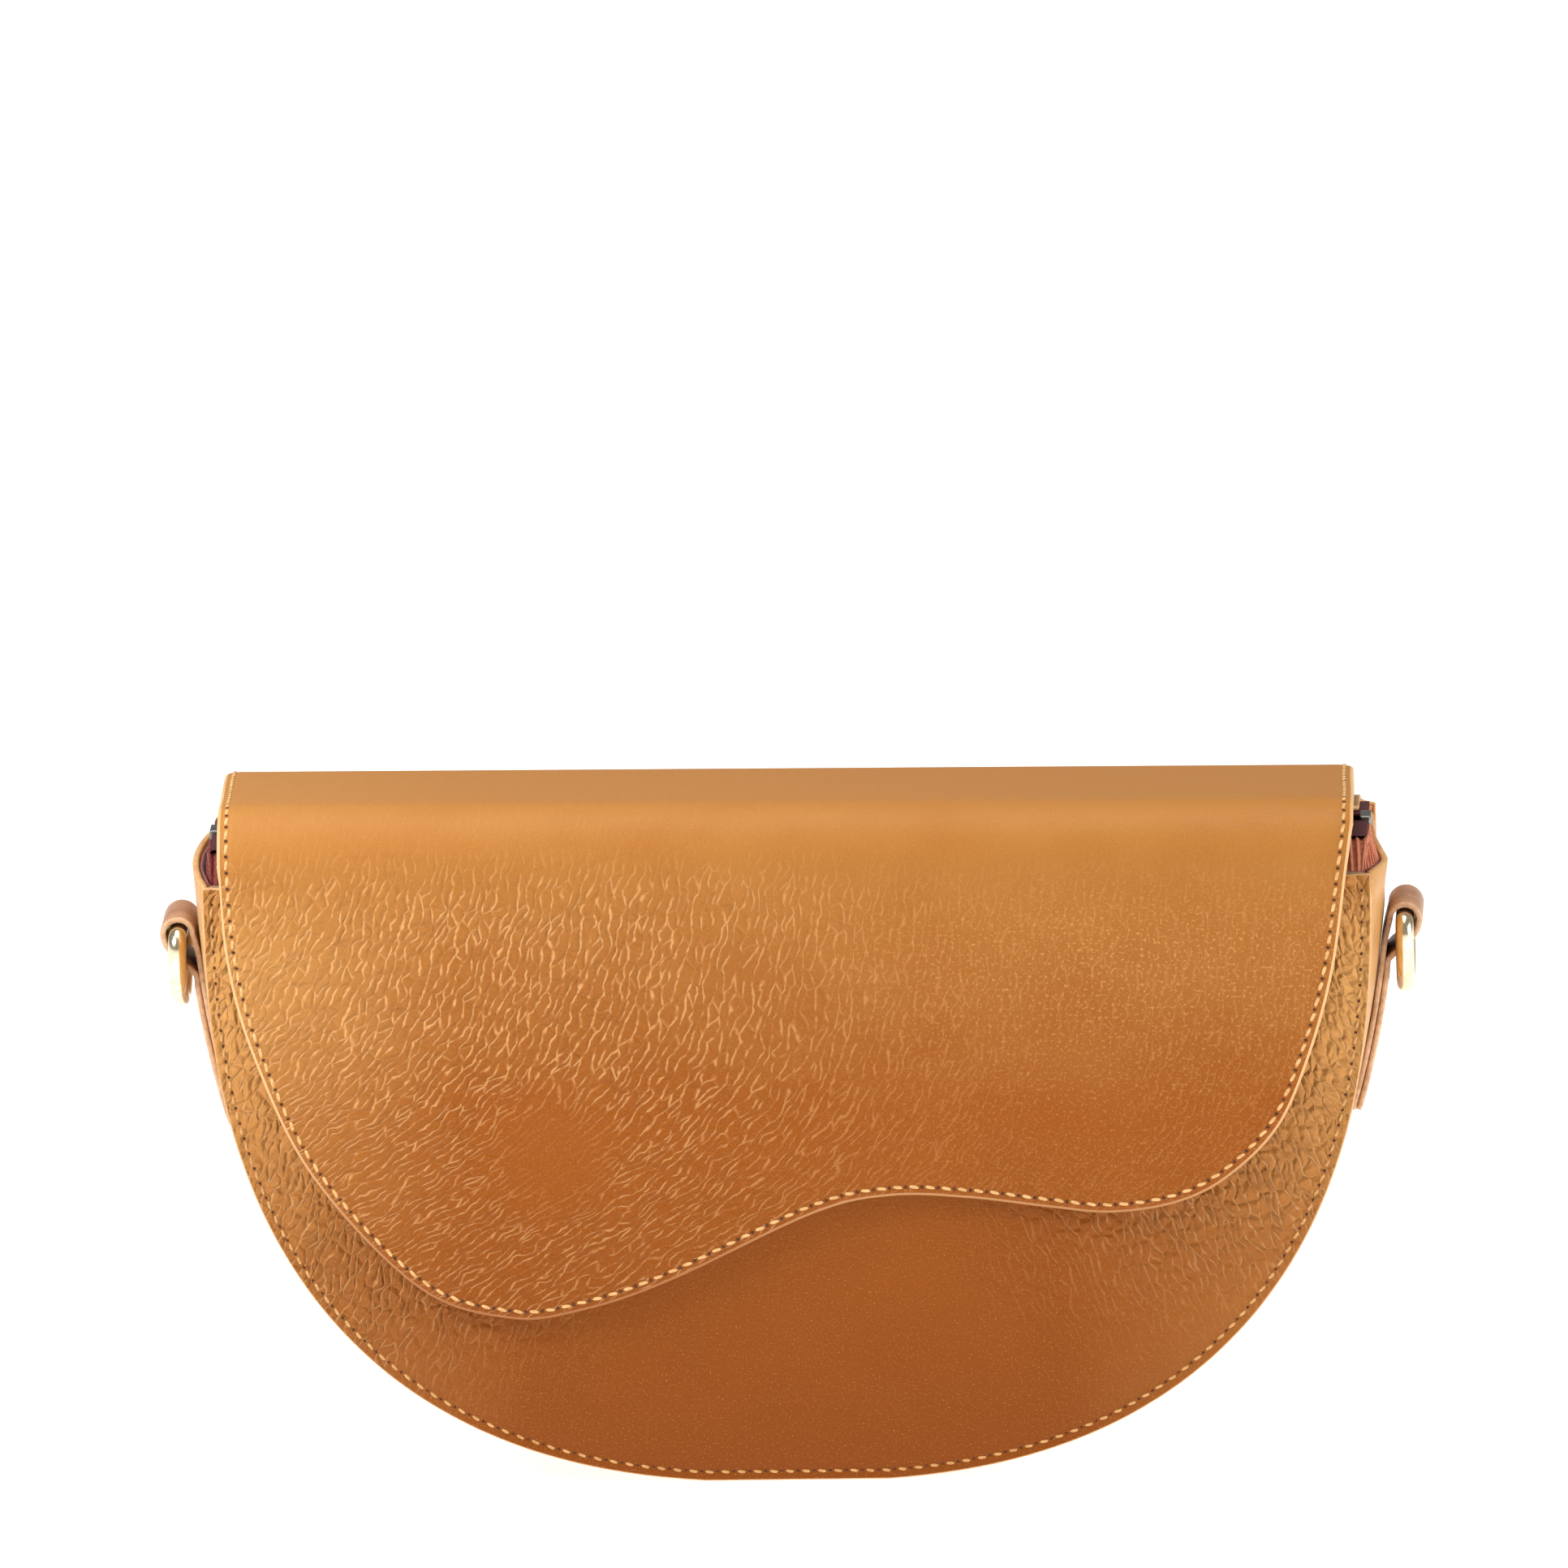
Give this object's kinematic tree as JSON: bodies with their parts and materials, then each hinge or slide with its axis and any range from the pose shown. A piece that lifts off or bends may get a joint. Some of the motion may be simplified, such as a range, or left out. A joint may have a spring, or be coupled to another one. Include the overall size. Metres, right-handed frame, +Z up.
{
  "type": "saddle handbag",
  "caption": "Half-moon leather saddle handbag: gusseted body, zip top, wavy flap on magnetic snaps that folds over the front, rings in leather tabs for a strap.",
  "frame": {"origin": "middle of the pressed-flat foot that the bag stands on, halfway between the panels' inner faces", "axes": "+X to the right seen from the front, +Y from the front to the back, +Z up"},
  "size_m": [0.2742, 0.0697, 0.149],
  "materials": {
    "pebbled_leather": "pebbled tan cowhide, semi-gloss",
    "smooth_leather": "smooth tan leather",
    "flap_lining_leather": "thin smooth leather",
    "facing_leather": "smooth leather with painted edges",
    "lining_fabric": "woven coral-brown lining",
    "board": "pressed fibre board",
    "zip_tape": "woven dark brown tape",
    "zip_metal": "bright zip teeth",
    "gold_metal": "light gold plated, polished",
    "magnet": "sintered ring magnet",
    "steel": "stamped washers"
  },
  "bodies": {
    "bag": {"front_panel": "pebbled_leather", "front_board": "board", "front_lining": "lining_fabric", "back_panel": "pebbled_leather", "back_board": "board", "back_lining": "lining_fabric", "gusset": "smooth_leather", "gusset_lining": "lining_fabric", "flap_tail": "pebbled_leather", "snap_sockets": "gold_metal", "snap_magnets": "magnet", "snap_socket_backplates": "steel", "zip_facing_front": "facing_leather", "zip_facing_rear": "facing_leather", "zip_tape_front": "zip_tape", "zip_tape_rear": "zip_tape", "zip_teeth_front": "zip_metal", "zip_teeth_rear": "zip_metal", "zip_stops": "zip_metal", "zip_end_tabs": "facing_leather", "side_tab_left": "smooth_leather", "side_tab_right": "smooth_leather"},
    "flap_top": {"flap_top_leather": "pebbled_leather", "flap_top_lining": "flap_lining_leather"},
    "flap_front": {"flap_front_leather": "pebbled_leather", "flap_front_lining": "flap_lining_leather", "snap_studs": "gold_metal", "snap_stud_backplates": "steel"},
    "slider": {"zip_slider": "gold_metal"},
    "pull_tab": {"zip_puller": "gold_metal"},
    "ring_on_left": {"ring_left": "gold_metal"},
    "ring_on_right": {"ring_right": "gold_metal"}
  },
  "joints": [
    {"name": "flap_lift", "type": "hinge", "parent": "bag", "child": "flap_top", "pos_m": [0, 0.03104, 0.14374], "axis": [-1, 0, 0], "range_deg": [0, 125]},
    {"name": "flap_shoulder", "type": "hinge", "parent": "flap_top", "child": "flap_front", "pos_m": [0, -0.0328, 0.1449], "axis": [-1, 0, 0], "range_deg": [0, 80]},
    {"name": "slider_travel", "type": "slide", "parent": "bag", "child": "slider", "axis": [1, 0, 0], "range_m": [0, 0.216]},
    {"name": "pull_tab_swing", "type": "hinge", "parent": "slider", "child": "pull_tab", "pos_m": [-0.10806, 0, 0.1419], "axis": [0, -1, 0], "range_deg": [0, 8]},
    {"name": "ring_left_swing", "type": "hinge", "parent": "bag", "child": "ring_on_left", "pos_m": [-0.13315, 0, 0.118], "axis": [0, 1, 0], "range_deg": [0, 160]},
    {"name": "ring_right_swing", "type": "hinge", "parent": "bag", "child": "ring_on_right", "pos_m": [0.13315, 0, 0.118], "axis": [0, -1, 0], "range_deg": [0, 160]}
  ]
}
